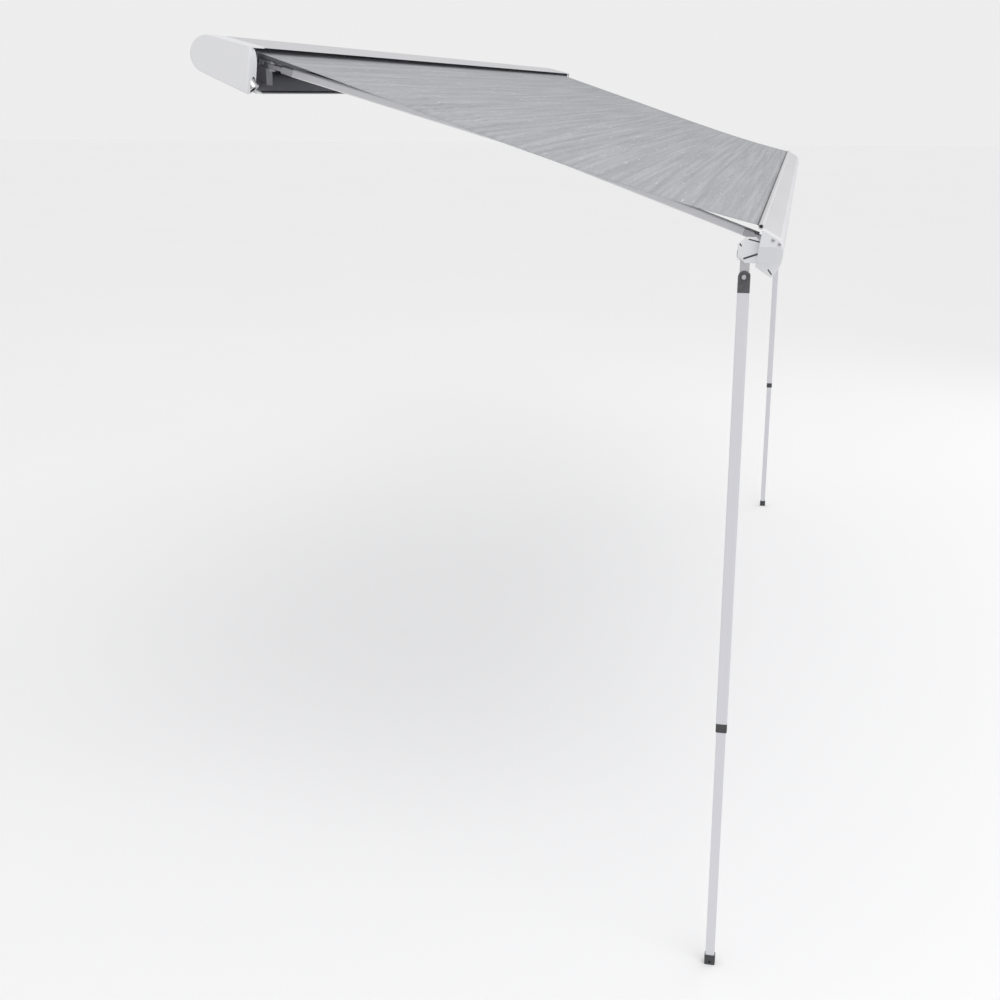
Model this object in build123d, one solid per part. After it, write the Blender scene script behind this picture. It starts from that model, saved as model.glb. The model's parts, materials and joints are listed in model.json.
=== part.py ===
from build123d import *
import os
from math import atan, cos, degrees, pi, radians, sin, tan

# A roll-out awning in a slim housing, for the side wall of a caravan or camper.
# X runs along the wall, -Y points away from it and +Z is up. The origin lies on the wall,
# behind the middle of the housing and level with the axis of the roller.
# Lengths are in millimetres and angles in degrees. The awning is drawn wide open, with both
# legs down. A place in a section is its distance out from the wall and its height.

# Driving sizes of the whole awning
awning_length = 4500.0
fall_angle = 18.0
arm_length = 690.0
arm_open_angle = 72.0
arm_closed_gap = 60.0
shoulder_inset = 250.0
foot_height = 2325.0

# Driving sizes of the housing
housing_radius = 44.0
housing_wall = 2.6
housing_stand_off = 12.0
housing_depth = 163.0
housing_lip_setback = 13.0
cover_angle = 14.6
floor_angle = 24.0
housing_cap_width = 92.0
end_plate_thickness = 20.0

# Driving sizes of the roller and canopy
roller_radius = 30.0
roller_wall = 2.0
fabric_roll_radius = 32.0
canopy_thickness = 1.0
canopy_end_gap = 95.0
canopy_sag = 13.0

# Driving sizes of the arms
arm_width = 34.0
arm_height = 20.0
arm_wall = 2.2
arm_corner = 4.0
elbow_offset = 20.0

# Driving sizes of the lead rail
rail_depth = 61.0
rail_height = 112.0
rail_wall = 2.2
rail_cap_width = 62.0
keder_radius = 6.5
keder_bore = 4.0

# Driving sizes of the legs
leg_width = 28.0
leg_thickness = 22.0
leg_wall = 1.8
leg_inset = 72.0
leg_tube_length = 1090.0
leg_overlap = 250.0
link_length = 50.0

# Clearances shared by all pieces
running_gap = 0.3
slide_gap = 0.3
overrun = 60.0

# Places worked out from the driving sizes
half_length = awning_length / 2
canopy_width = awning_length - 2 * canopy_end_gap
fall = radians(fall_angle)
cover = radians(cover_angle)
floor = radians(floor_angle)
slope_out = Vector(0, -cos(fall), -sin(fall))
slope_up = Vector(0, -sin(fall), cos(fall))


def on_slope(start, run, rise):
    """A place that lies so far down the open slope from a start, and so far above it."""
    out = start[0] + run * cos(fall) + rise * sin(fall)
    up = start[1] - run * sin(fall) + rise * cos(fall)
    return (out, up)


def in_space(x, place):
    """The point in space of a place in the section at one X."""
    return Vector(x, -place[0], place[1])


def flat(place):
    """A place of the section on the local axes of the YZ plane."""
    return (-place[0], place[1])


def face_of(*lines):
    """The face inside lines that meet end to end."""
    return make_face([edge for line in lines for edge in line.edges()])


def polygon(*places):
    """The face of a section with straight sides."""
    return face_of(Polyline(*[flat(place) for place in places], close=True))


def along_wall(face, x_from, x_to):
    """A section run along the wall from one X to another."""
    return extrude(Plane.YZ.offset(x_from) * face, amount=x_to - x_from, dir=(1, 0, 0))


def rod(start, end, radius):
    """A round bar between two points in space."""
    axis = end - start
    return extrude(Plane(origin=start, z_dir=axis) * Circle(radius), amount=axis.length)


def mirrored(shape):
    """The same piece at the other end of the awning."""
    return mirror(shape, about=Plane.YZ)


def both_ends(shape):
    """One node with a piece and its mirror image."""
    return Compound(children=[*shape.solids(), *mirrored(shape).solids()])


pieces = {}

# Housing: an extruded profile, round at the back and open at the front, with moulded ends
roller_axis = (housing_stand_off + housing_radius, 0)
front_out = housing_depth
lip_out = housing_depth - housing_lip_setback
cover_normal = (sin(cover), cos(cover))
floor_normal = (-sin(floor), -cos(floor))


def beside_roller(normal, distance):
    """A place so far from the roller's axis along a direction of the section."""
    return (roller_axis[0] + distance * normal[0], roller_axis[1] + distance * normal[1])


def cover_height(out, depth_below=0):
    """Height of the top cover's outer face, or of a layer below it."""
    tangent = beside_roller(cover_normal, housing_radius - depth_below)
    return tangent[1] - (out - tangent[0]) * tan(cover)


def floor_height(out, height_above=0):
    """Height of the housing floor's outer face, or of a layer above it."""
    tangent = beside_roller(floor_normal, housing_radius - height_above)
    return tangent[1] - (out - tangent[0]) * tan(floor)


def housing_layer(outer_depth, inner_depth, front=front_out, lip=lip_out):
    """An open C section between two depths below the housing's outer face."""
    lines = []
    places = []
    for depth in (outer_depth, inner_depth):
        top = (front, cover_height(front, depth))
        top_tangent = beside_roller(cover_normal, housing_radius - depth)
        back = (roller_axis[0] - housing_radius + depth, roller_axis[1])
        low_tangent = beside_roller(floor_normal, housing_radius - depth)
        low = (lip, floor_height(lip, depth))
        lines.append(Line(flat(top), flat(top_tangent)))
        lines.append(ThreePointArc(flat(top_tangent), flat(back), flat(low_tangent)))
        lines.append(Line(flat(low_tangent), flat(low)))
        places.append((top, low))
    lines.append(Line(flat(places[0][0]), flat(places[1][0])))
    lines.append(Line(flat(places[0][1]), flat(places[1][1])))
    return face_of(*lines)


def housing_outline(depth=0):
    """The closed outline of the housing, its mouth included."""
    top = (front_out, cover_height(front_out, depth))
    top_tangent = beside_roller(cover_normal, housing_radius - depth)
    back = (roller_axis[0] - housing_radius + depth, roller_axis[1])
    low_tangent = beside_roller(floor_normal, housing_radius - depth)
    low = (lip_out, floor_height(lip_out, depth))
    return face_of(
        Line(flat(top), flat(top_tangent)),
        ThreePointArc(flat(top_tangent), flat(back), flat(low_tangent)),
        Line(flat(low_tangent), flat(low)),
        Line(flat(low), flat(top)),
    )


shell_end = half_length - housing_cap_width
pieces["housing_shell"] = along_wall(housing_layer(0, housing_wall), -shell_end, shell_end)

# Lip seal: a soft strip on the inside of the housing's lower lip
seal_width = 6.0
seal_height = 2.0
seal_setback = 1.0
seal_front = lip_out - seal_setback
seal_back = seal_front - seal_width
seal_top = housing_wall + seal_height
pieces["lip_seal"] = along_wall(polygon(
    (seal_back, floor_height(seal_back, housing_wall)),
    (seal_front, floor_height(seal_front, housing_wall)),
    (seal_front, floor_height(seal_front, seal_top)),
    (seal_back, floor_height(seal_back, seal_top)),
), -shell_end, shell_end)

# Places that the arms, the lead rail and the legs share
plate_outer = 11.0
plate_inner = 5.5
tongue_half = 5.0
plate_radius = 16.0
shoulder_sink = 2.7
leg_front_gap = 10.0
leg_floor_gap = 3.0
shoulder_x = half_length - shoulder_inset
shoulder = on_slope(roller_axis, housing_radius + plate_radius, -shoulder_sink)
wrist_closed = on_slope(shoulder, arm_closed_gap, 0)
arm_reach = 2 * arm_length * sin(radians(arm_open_angle))
travel = arm_reach - arm_closed_gap
leg_x = half_length - leg_inset
fold_out = lip_out - leg_width / 2 - leg_front_gap
leg_back = fold_out - leg_width / 2
fold_up = floor_height(leg_back, housing_wall) + leg_floor_gap + leg_thickness / 2


def opened(place):
    """Where a place on the closed lead rail lies when the awning is open."""
    return on_slope(place, travel, 0)


wrist = opened(wrist_closed)
fold_pivot = opened((fold_out, fold_up))
knuckle_pivot = (fold_pivot[0], fold_pivot[1] - link_length)

# Crank drive: the worm's shaft leans down and out, so that the crank eye faces the user
crank_angle = 53.0
crank_inset = 41.0
wheel_teeth = 18
wheel_pitch_radius = 18.0
worm_pitch_radius = 8.0
tooth_height = 1.5
root_gap = 0.3
wheel_width = 10.0
gear_distance = wheel_pitch_radius + worm_pitch_radius
crank_x = -(half_length - crank_inset)
crank_run = (cos(radians(crank_angle)), -sin(radians(crank_angle)))
crank_rise = (sin(radians(crank_angle)), cos(radians(crank_angle)))
crank_axis = Vector(0, -crank_run[0], crank_run[1])
crank_side = Vector(0, -crank_rise[0], crank_rise[1])


def on_crank(run, rise=0):
    """A place so far along the crank's axis from the worm's middle, and so far to its side."""
    out = roller_axis[0] + (gear_distance + rise) * crank_rise[0] + run * crank_run[0]
    up = roller_axis[1] + (gear_distance + rise) * crank_rise[1] + run * crank_run[1]
    return (out, up)


def crank_rod(run_from, run_to, radius):
    """A round bar along the crank's axis."""
    return rod(in_space(crank_x, on_crank(run_from)), in_space(crank_x, on_crank(run_to)), radius)


# Housing ends: moulded caps with an end plate, a skin in line with the profile, a spigot inside
# it, a boss for the roller's bush, a cheek that fills the lower front corner and a thin curved
# wall in the mouth above it
cap_skin = 4.0
cap_edge_round = 3.0
spigot_length = 25.0
spigot_wall = 2.0
spigot_front = 100.0
bush_radius = 11.0
bush_length = 13.0
boss_wall = 4.0
stub_radius = 8.0
cheek_width = 38.0
cheek_setback = 2.5
cheek_back = 106.0
cheek_top = -36.0
cheek_bevel = 14.0
front_wall_bulge_share = (0.79, 0.38)
slot_width = 14.0
eye_radius = 17.5
eye_start = 92.0
eye_end = 120.0
recess_gap = 2.5
shaft_radius = 4.0
crank_bush_start = 76.0
crank_bush_length = 10.0
crank_bush_wall = 3.0
plate_start = half_length - end_plate_thickness
bush_start = plate_start - bush_length


def mouth_out(up):
    """How far out the housing's mouth lies at a height."""
    low = floor_height(lip_out)
    high = cover_height(front_out)
    return lip_out + (front_out - lip_out) * (up - low) / (high - low)


def front_wall():
    """A wall just inside the mouth that widens in a curve from the cover to the cheek."""
    top = cover_height(front_out)
    drop = top - cheek_top
    strip = polygon(
        (mouth_out(top) - cheek_setback, top), (mouth_out(cheek_top) - cheek_setback, cheek_top),
        (mouth_out(cheek_top) - cheek_setback - cap_skin, cheek_top),
        (mouth_out(top) - cheek_setback - cap_skin, top))
    middle = (plate_start - cheek_width * front_wall_bulge_share[0],
              top - drop * front_wall_bulge_share[1])
    low = (plate_start - cheek_width, cheek_top)
    crescent = face_of(
        ThreePointArc((plate_start, top), middle, low), Line(low, (plate_start, cheek_top)),
        Line((plate_start, cheek_top), (plate_start, top)))
    wall = along_wall(strip, plate_start - cheek_width, plate_start)
    wall &= extrude(Plane.XZ * crescent, amount=front_out + overrun, dir=(0, -1, 0))
    return wall & along_wall(housing_outline(), shell_end, plate_start)


def housing_cap():
    """The moulded end at the right, as it is before the crank's holes are cut."""
    plate = along_wall(housing_outline(), plate_start, half_length)
    rim = plate.faces().sort_by(Axis.X)[-1].edges()
    plate = fillet(rim, cap_edge_round)
    skin = along_wall(housing_layer(0, cap_skin), shell_end, plate_start)
    ring_depth = housing_wall + running_gap
    ring_start = shell_end - spigot_length
    ring_end = shell_end + spigot_length
    ring = along_wall(housing_layer(ring_depth, ring_depth + spigot_wall), ring_start, ring_end)
    reach = spigot_front - overrun
    ring &= along_wall(polygon(
        (-overrun, overrun), (reach, overrun), (spigot_front, -overrun / 2),
        (spigot_front, -2 * overrun), (-overrun, -2 * overrun),
    ), ring_start, ring_end)
    boss = rod(Vector(bush_start, -roller_axis[0], 0), Vector(plate_start, -roller_axis[0], 0),
               bush_radius + boss_wall)
    boss -= rod(Vector(bush_start, -roller_axis[0], 0), Vector(plate_start, -roller_axis[0], 0),
                bush_radius)
    low = floor_height(lip_out)
    cheek = along_wall(polygon(
        (cheek_back, floor_height(cheek_back)),
        (lip_out - cheek_setback, floor_height(lip_out - cheek_setback)),
        (mouth_out(cheek_top) - cheek_setback, cheek_top),
        (cheek_back + cheek_bevel, cheek_top),
        (cheek_back, cheek_top - cheek_bevel),
    ), plate_start - cheek_width, plate_start)
    slot = along_wall(polygon(
        (leg_back, floor_height(leg_back, overrun / 4)), (front_out, low + overrun / 4),
        (front_out, low - overrun), (leg_back, low - overrun),
    ), leg_x - slot_width / 2, leg_x + slot_width / 2)
    return plate + skin + ring + boss + cheek + front_wall() - slot


right_cap = housing_cap()
recess = crank_rod(eye_start - recess_gap, eye_end + overrun, eye_radius + recess_gap)
bush_seat = crank_rod(0, crank_bush_start + crank_bush_length, shaft_radius + crank_bush_wall)
shaft_way = crank_rod(0, eye_end, shaft_radius + running_gap)
pieces["right_housing_cap"] = right_cap
pieces["left_housing_cap"] = mirrored(right_cap) - recess - bush_seat - shaft_way
pieces["crank_bush"] = (
    crank_rod(crank_bush_start, crank_bush_start + crank_bush_length,
              shaft_radius + crank_bush_wall) - shaft_way)

# Wall brackets: three cast saddles that the back of the housing rests in
bracket_width = 120.0
bracket_end_gap = 750.0
bracket_pitch = half_length - bracket_end_gap
bracket_plate = 6.0
bracket_top = 40.0
bracket_drop = 84.0
saddle_out = 30.0
saddle_half = 38.0
pocket_half = 12.0
shelf_thickness = 4.0
shelf_front = 72.0
bolt_radius = 4.25
bolt_spacing_x = 80.0
bolt_spacing_z = 70.0


def wall_bracket(x):
    """One saddle, with holes for four bolts into the wall."""
    left = x - bracket_width / 2
    right = x + bracket_width / 2
    plate = polygon((0, bracket_top), (bracket_plate, bracket_top),
                    (bracket_plate, -bracket_drop), (0, -bracket_drop))
    saddle = polygon((0, saddle_half), (saddle_out, saddle_half),
                     (saddle_out, -saddle_half), (0, -saddle_half))
    hollow = polygon((bracket_plate, pocket_half), (saddle_out, pocket_half),
                     (saddle_out, -pocket_half), (bracket_plate, -pocket_half))
    shelf = housing_layer(-shelf_thickness, 0, shelf_front, shelf_front)
    below = polygon((0, -pocket_half), (shelf_front, -pocket_half),
                    (shelf_front, -overrun * 2), (0, -overrun * 2))
    bore = Pos(*flat(roller_axis)) * Circle(housing_radius)
    section = plate + (saddle - hollow) + (shelf & below) - bore - housing_outline()
    bracket = along_wall(section, left, right)
    for side in (-1, 1):
        for up in (0, -bolt_spacing_z):
            hole_x = x + side * bolt_spacing_x / 2
            bracket -= rod(in_space(hole_x, (-overrun, up)), in_space(hole_x, (overrun / 2, up)),
                           bolt_radius)
    return bracket


for name, step in (("left", -1), ("centre", 0), ("right", 1)):
    pieces["wall_bracket_" + name] = wall_bracket(step * bracket_pitch)

# Crank gear: a worm on the crank's shaft turns a wheel on the roller's end
wheel_start = crank_x - wheel_width / 2
pitch = 2 * pi * wheel_pitch_radius / wheel_teeth
tooth_root_share = 0.5
tooth_tip_share = 0.2
thread_root_share = 0.48
thread_tip_share = 0.2
thread_turns = 3
full_turn = 360.0
half_turn_share = 0.5
worm_top = -15.0
casing_bottom = 20.0
casing_radius = 27.0
casing_half = 12.5
casing_wall = 2.5
casing_gap = 2.0
roller_drive_gap = 60.0
eye_bore = 8.0
eye_slot = 8.0
eye_depth = 20.0
casing_end = -(half_length - roller_drive_gap) - casing_gap * 2
drive_end = Vector(-plate_start, -roller_axis[0], 0)


def worm_wheel():
    """A spur wheel whose straight teeth stand between the threads of the worm."""
    root = wheel_pitch_radius - tooth_height - root_gap
    tip = wheel_pitch_radius + tooth_height
    disc = Circle(root)
    for tooth in range(wheel_teeth):
        half_root = tooth_root_share * pitch / 2
        half_tip = tooth_tip_share * pitch / 2
        blank = make_face(Polyline(
            (0, half_root), (root, half_root), (tip, half_tip), (tip, -half_tip),
            (root, -half_root), (0, -half_root), close=True).edges())
        disc += Rot(0, 0, tooth * full_turn / wheel_teeth) * blank
    disc -= Circle(stub_radius)
    plane = Plane(origin=(wheel_start, -roller_axis[0], roller_axis[1]),
                  x_dir=crank_side, z_dir=(1, 0, 0))
    return extrude(plane * disc, amount=wheel_width)


def worm_shaft():
    """The crank's shaft with the worm's thread twisted round its upper end."""
    core = worm_pitch_radius - tooth_height - root_gap
    crest = worm_pitch_radius + tooth_height
    length = thread_turns * pitch

    def edge(radius, turn_share):
        """A place on the worm's section, by radius and share of a full turn."""
        turn = 2 * pi * turn_share
        return (radius * cos(turn), radius * sin(turn))

    flank = (thread_tip_share + thread_root_share) / 2
    middle = (core + crest) / 2
    tip, root = thread_tip_share / 2, thread_root_share / 2
    section = face_of(
        ThreePointArc(edge(crest, -tip), edge(crest, 0), edge(crest, tip)),
        ThreePointArc(edge(crest, tip), edge(middle, flank / 2), edge(core, root)),
        ThreePointArc(edge(core, root), edge(core, half_turn_share), edge(core, -root)),
        ThreePointArc(edge(core, -root), edge(middle, -flank / 2), edge(crest, -tip)))
    thread = Part(Solid.extrude_linear_with_rotation(
        section.face(), (0, 0, 0), (0, 0, length), thread_turns * full_turn).wrapped)
    plane = Plane(origin=in_space(crank_x, on_crank(-length / 2)), x_dir=-crank_side,
                  z_dir=crank_axis)
    return plane * thread + crank_rod(worm_top, eye_start, shaft_radius)


def gearbox_casing():
    """A cup round worm and wheel, closed by the housing's end plate."""
    plane = Plane(origin=(-plate_start, -roller_axis[0], roller_axis[1]),
                  x_dir=crank_side, z_dir=(1, 0, 0))
    run = casing_bottom - worm_top
    centre = (casing_bottom + worm_top) / 2
    depth = casing_end + plate_start
    worm_box = Pos(gear_distance, centre) * Rectangle(2 * casing_half, run)
    inner_box = Pos(gear_distance, centre) * Rectangle(
        2 * (casing_half - casing_wall), run - 2 * casing_wall)
    outer = Circle(casing_radius) + worm_box
    inner = Circle(casing_radius - casing_wall) + inner_box
    cup = extrude(plane * outer, amount=depth)
    cup -= extrude(plane * inner, amount=depth - casing_wall)
    cup -= rod(drive_end, drive_end + Vector(overrun, 0, 0), stub_radius + running_gap)
    return cup - crank_rod(worm_top, casing_bottom, shaft_radius + running_gap)


def crank_eye():
    """The metal barrel with a keyhole that takes the hook of the crank."""
    barrel = crank_rod(eye_start, eye_end, eye_radius)
    barrel -= crank_rod(eye_end - eye_depth, eye_end, eye_bore)
    face = Plane(origin=in_space(crank_x, on_crank(eye_end)), x_dir=(1, 0, 0), z_dir=-crank_axis)
    down = 1 if face.y_dir.dot(crank_side) < 0 else -1
    slot = Pos(0, down * eye_radius / 2) * Rectangle(eye_slot, eye_radius)
    return barrel - extrude(face * slot, amount=eye_depth)


pieces["worm_wheel"] = worm_wheel()
pieces["worm_shaft"] = worm_shaft()
pieces["crank_eye"] = crank_eye()
pieces["gearbox_casing"] = gearbox_casing()

# Roller: a tube between two plugs with stub shafts, and the turns of cloth left on it
roller_idle_gap = 46.0
plug_length = 16.0
plug_flange = 4.0
stub_gap = 1.0
roller_left = -(half_length - roller_drive_gap)
roller_right = half_length - roller_idle_gap
centre_out = -roller_axis[0]


def level_rod(x_from, x_to, radius):
    """A round bar on the roller's axis."""
    return rod(Vector(x_from, centre_out, 0), Vector(x_to, centre_out, 0), radius)


def roller_plug(end, outward):
    """A plug that closes one end of the tube and carries its stub shaft."""
    inside = end - outward * plug_length
    flange = end + outward * plug_flange
    tip = outward * (plate_start - stub_gap)
    return (level_rod(inside, end, roller_radius - roller_wall)
            + level_rod(end, flange, roller_radius) + level_rod(flange, tip, stub_radius))


pieces["roller_tube"] = (level_rod(roller_left, roller_right, roller_radius)
                         - level_rod(roller_left, roller_right, roller_radius - roller_wall))
pieces["roller_plugs"] = Compound(children=[
    *roller_plug(roller_left, -1).solids(), *roller_plug(roller_right, 1).solids()])
pieces["roller_bushes"] = both_ends(
    level_rod(bush_start, plate_start, bush_radius)
    - level_rod(bush_start, plate_start, stub_radius + running_gap))
pieces["fabric_roll"] = (level_rod(-canopy_width / 2, canopy_width / 2, fabric_roll_radius)
                         - level_rod(-canopy_width / 2, canopy_width / 2, roller_radius))

# Lead rail: a C profile, open at the back, with a keder tube along its top edge
rail_top_drop = 12.6
rail_top = cover_height(front_out) - rail_top_drop
rail_base = rail_top - rail_height
keder_setback = 5.0
keder_rise = 2.0
keder_slot = 2.6
rail_crease_share = (0.87, 0.80)
rail_bulge_share = (1.0, 0.55)
rail_chin_share = (0.87, 0.205)
rail_toe_share = (0.62, 0.0)
rail_heel_share = (0.525, 0.031)
rail_lip_share = (0.0, 0.223)
lip_length = 8.0
fin_length = 6.0
fin_thickness = 2.0
fin_shares = (0.72, 0.3)
rail_end_gap = 23.0
rail_cap_outer = half_length - rail_end_gap
rail_end = rail_cap_outer - rail_cap_width
keder = opened((front_out - keder_setback, rail_top + keder_rise))


def on_rail(share):
    """A place on the open lead rail, as shares of the rail's depth and height."""
    return opened((lip_out + share[0] * rail_depth, rail_base + share[1] * rail_height))


def rail_outline():
    """The closed outline of the lead rail, its back opening included."""
    crown = opened((front_out, rail_top))
    corners = [on_rail(share) for share in (
        rail_crease_share, rail_bulge_share, rail_chin_share, rail_toe_share,
        rail_heel_share, rail_lip_share)]
    crease, bulge, chin, toe, heel, lip = [flat(place) for place in corners]
    return face_of(
        Line(flat(crown), crease), ThreePointArc(crease, bulge, chin),
        Polyline(chin, toe, heel, lip), Line(lip, flat(crown)))


def lead_rail():
    """The extruded lead rail from end to end."""
    outline = rail_outline()
    section = outline - offset(outline, amount=-rail_wall, kind=Kind.INTERSECTION)
    crown = opened((front_out, rail_top))
    lip = on_rail(rail_lip_share)
    section -= polygon(
        (crown[0] - 2 * lip_length, crown[1] - lip_length),
        (crown[0] + 2 * rail_wall, crown[1] - lip_length),
        (lip[0] + 2 * rail_wall, lip[1] + lip_length),
        (lip[0] - lip_length, lip[1] + lip_length))
    for share in fin_shares:
        front = on_rail((rail_crease_share[0], share))
        section += polygon(
            (front[0] - fin_length, front[1]), (front[0] + fin_length, front[1]),
            (front[0] + fin_length, front[1] - fin_thickness),
            (front[0] - fin_length, front[1] - fin_thickness)) & outline
    bore = Pos(*flat(keder)) * Circle(keder_bore)
    section += Pos(*flat(keder)) * Circle(keder_radius)
    section -= bore
    section -= Pos(*flat(keder)) * Rot(0, 0, fall_angle) * Pos(keder_radius, 0) * Rectangle(
        2 * keder_radius, keder_slot)
    return along_wall(section, -rail_end, rail_end)


pieces["lead_rail"] = lead_rail()

# Canopy: one sheet from the top of the roll to the lead rail, and the bead that holds it there
bead_gap = 0.5
tail_length = 4.0
roll_top = on_slope(roller_axis, 0, fabric_roll_radius + running_gap + canopy_thickness / 2)
canopy_end = on_slope(keder, -(keder_radius + tail_length + running_gap), 0)


def canopy_line(rise):
    """The sagging line of the sheet, at a height above its middle layer."""
    middle = ((roll_top[0] + canopy_end[0]) / 2, (roll_top[1] + canopy_end[1]) / 2 - canopy_sag)
    return [flat(on_slope(place, 0, rise)) for place in (roll_top, middle, canopy_end)]


low_line = canopy_line(-canopy_thickness / 2)
high_line = canopy_line(canopy_thickness / 2)
pieces["canopy"] = along_wall(face_of(
    ThreePointArc(*low_line), Line(low_line[2], high_line[2]),
    ThreePointArc(*high_line), Line(high_line[0], low_line[0]),
), -canopy_width / 2, canopy_width / 2)
bead_tail = Pos(*flat(keder)) * Rot(0, 0, fall_angle) * Pos(
    (keder_radius + tail_length) / 2, 0) * Rectangle(keder_radius + tail_length, canopy_thickness)
bead = Pos(*flat(keder)) * Circle(keder_bore - bead_gap) + bead_tail
pieces["front_bead"] = along_wall(bead, -canopy_width / 2, canopy_width / 2)

# Arms: each has two tubes with cast ends, hinged at shoulder, elbow and wrist. The elbow's pin
# stands beside the tubes, so that they lie flat against each other when the arm is shut. The
# closely wound spring in each forearm is drawn as a tube of its outer and inner size
block_start = 30.0
block_length = 28.0
plug_reach = 30.0
plug_gap = 0.2
fork_radius = 14.0
fork_inner = 4.5
elbow_tongue_half = 4.0
pin_radius = 5.0
pin_gap = 0.25
pin_head_radius = 8.0
pin_head_height = 1.0
spring_radius = 7.0
spring_wall = 2.0
tube_span = (arm_length ** 2 - elbow_offset ** 2) ** 0.5
arm_tilt = degrees(atan(elbow_offset / tube_span))
block_end = block_start + block_length
tube_end = tube_span - block_end
spigot_width = arm_width - 2 * (arm_wall + plug_gap)
spigot_height = arm_height - 2 * (arm_wall + plug_gap)


def arm_plane(pivot, outward):
    """The plane of one half of an arm: X along its tube, Z square to the open slope."""
    swing = radians(arm_open_angle - arm_tilt)
    heading = Vector(-cos(swing), 0, 0) + slope_out * (outward * sin(swing))
    return Plane(origin=in_space(shoulder_x, pivot), x_dir=heading, z_dir=slope_up)


def arm_bar(plane, start, end, width, height, corner):
    """A bar with rounded edges along the tube's line."""
    base = Plane(origin=plane.from_local_coords((start, 0, 0)),
                 x_dir=plane.y_dir, z_dir=plane.x_dir)
    return extrude(base * RectangleRounded(width, height, corner), amount=end - start)


def leaf(centre, radius, edge_x, width):
    """A flat leaf that narrows from the casting's block to a round eye."""
    edge = Pos(edge_x, 0) * Rectangle(pin_gap, width)
    eye = Pos(*centre) * Circle(radius)
    return make_hull(edge.edges() + eye.edges())


def arm_half(prefix, far_name, near_name, tube_name, pivot, outward):
    """The tube and the two castings of one half of an arm."""
    plane = arm_plane(pivot, outward)
    elbow = (tube_span, outward * elbow_offset)
    inner_corner = arm_corner - arm_wall
    tube = arm_bar(plane, block_end, tube_end, arm_width, arm_height, arm_corner)
    tube -= arm_bar(plane, block_end, tube_end, arm_width - 2 * arm_wall,
                    arm_height - 2 * arm_wall, inner_corner)
    near = extrude(plane * leaf((0, 0), plate_radius - pin_gap, block_start, arm_width),
                   amount=tongue_half, both=True)
    near += arm_bar(plane, block_start, block_end, arm_width, arm_height, arm_corner)
    near += arm_bar(plane, block_end, block_end + plug_reach, spigot_width, spigot_height,
                    inner_corner)
    near -= extrude(plane * Circle(pin_radius + pin_gap), amount=arm_height, both=True)
    far_block = arm_bar(plane, tube_end, tube_end + block_length, arm_width, arm_height,
                        arm_corner)
    far_block += arm_bar(plane, tube_end - plug_reach, tube_end, spigot_width, spigot_height,
                         inner_corner)
    flat_leaf = plane * leaf(elbow, fork_radius, tube_span - block_start, arm_width)
    hole = plane * (Pos(*elbow) * Circle(pin_radius))
    if outward > 0:
        far = far_block + extrude(flat_leaf, amount=arm_height / 2, both=True)
        gap = plane * (Pos(tube_span, 0) * Rectangle(2 * block_start, overrun * 2))
        far -= extrude(gap, amount=fork_inner, both=True)
        far -= extrude(hole, amount=arm_height, both=True)
        pin = extrude(hole, amount=arm_height / 2, both=True)
        head = plane * (Pos(*elbow) * Circle(pin_head_radius))
        for side in (-1, 1):
            cap = Plane(origin=slope_up * (side * (arm_height / 2)), z_dir=slope_up * side)
            pin += extrude(Pos(*cap.origin) * head, amount=pin_head_height,
                           dir=slope_up * side)
        pieces[prefix + "elbow_pin"] = pin
    else:
        far = far_block + extrude(flat_leaf, amount=elbow_tongue_half, both=True)
        far -= extrude(plane * (Pos(*elbow) * Circle(pin_radius + pin_gap)),
                       amount=arm_height, both=True)
    spring_start = block_end + plug_reach
    spring_plane = Plane(origin=plane.from_local_coords((spring_start, 0, 0)),
                         x_dir=plane.y_dir, z_dir=plane.x_dir)
    coil = Circle(spring_radius) - Circle(spring_radius - spring_wall)
    spring = extrude(spring_plane * coil, amount=tube_end - plug_reach - spring_start)
    pieces[prefix + tube_name] = tube
    pieces[prefix + near_name] = near
    pieces[prefix + far_name] = far
    if outward < 0:
        pieces[prefix + "arm_spring"] = spring


arm_half("right_", "elbow_fork", "shoulder_casting", "upper_arm_tube", shoulder, 1)
arm_half("right_", "elbow_tongue", "wrist_casting", "forearm_tube", wrist, -1)
for name in [name for name in pieces if name.startswith("right_") and "housing" not in name]:
    pieces[name.replace("right_", "left_")] = mirrored(pieces[name])

# Shoulder brackets: forks on a foot that is screwed to the housing floor
foot_length = 30.0
foot_gap = 2.0
foot_rise = 11.0
foot_shoulder = 18.0
fork_half_width = 20.0
web_thickness = 5.0
web_gap = 3.0
pin_end = 1.5


def bracket_plane(pivot):
    """The plane of a fork: Y points back towards the wall, Z square to the open slope."""
    return Plane(origin=in_space(shoulder_x, pivot), x_dir=(1, 0, 0), z_dir=slope_up)


def fork(pivot, back):
    """Two leaves above and below an arm's tongue, joined by a web behind the eye."""
    web_start = back * (plate_radius + web_gap)
    web_end = back * (plate_radius + web_gap + web_thickness)
    reach = Pos(0, web_end / 2) * Rectangle(2 * fork_half_width, abs(web_end))
    web = Pos(0, (web_start + web_end) / 2) * Rectangle(2 * fork_half_width, web_thickness)
    plane = bracket_plane(pivot)
    body = extrude(plane * (Circle(plate_radius) + reach), amount=plate_outer, both=True)
    body -= extrude(plane * (Circle(overrun)), amount=plate_inner, both=True)
    body += extrude(plane * web, amount=plate_outer, both=True)
    return body - extrude(plane * Circle(pin_radius), amount=plate_outer, both=True)


def hinge_pin(pivot):
    """A pin with a thin head at both ends, seated in a fork's leaves."""
    plane = bracket_plane(pivot)
    pin = extrude(plane * Circle(pin_radius), amount=plate_outer + pin_end, both=True)
    heads = extrude(plane * Circle(pin_head_radius), amount=plate_outer + pin_end, both=True)
    return pin + (heads - extrude(plane * Circle(pin_head_radius), amount=plate_outer, both=True))


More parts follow.
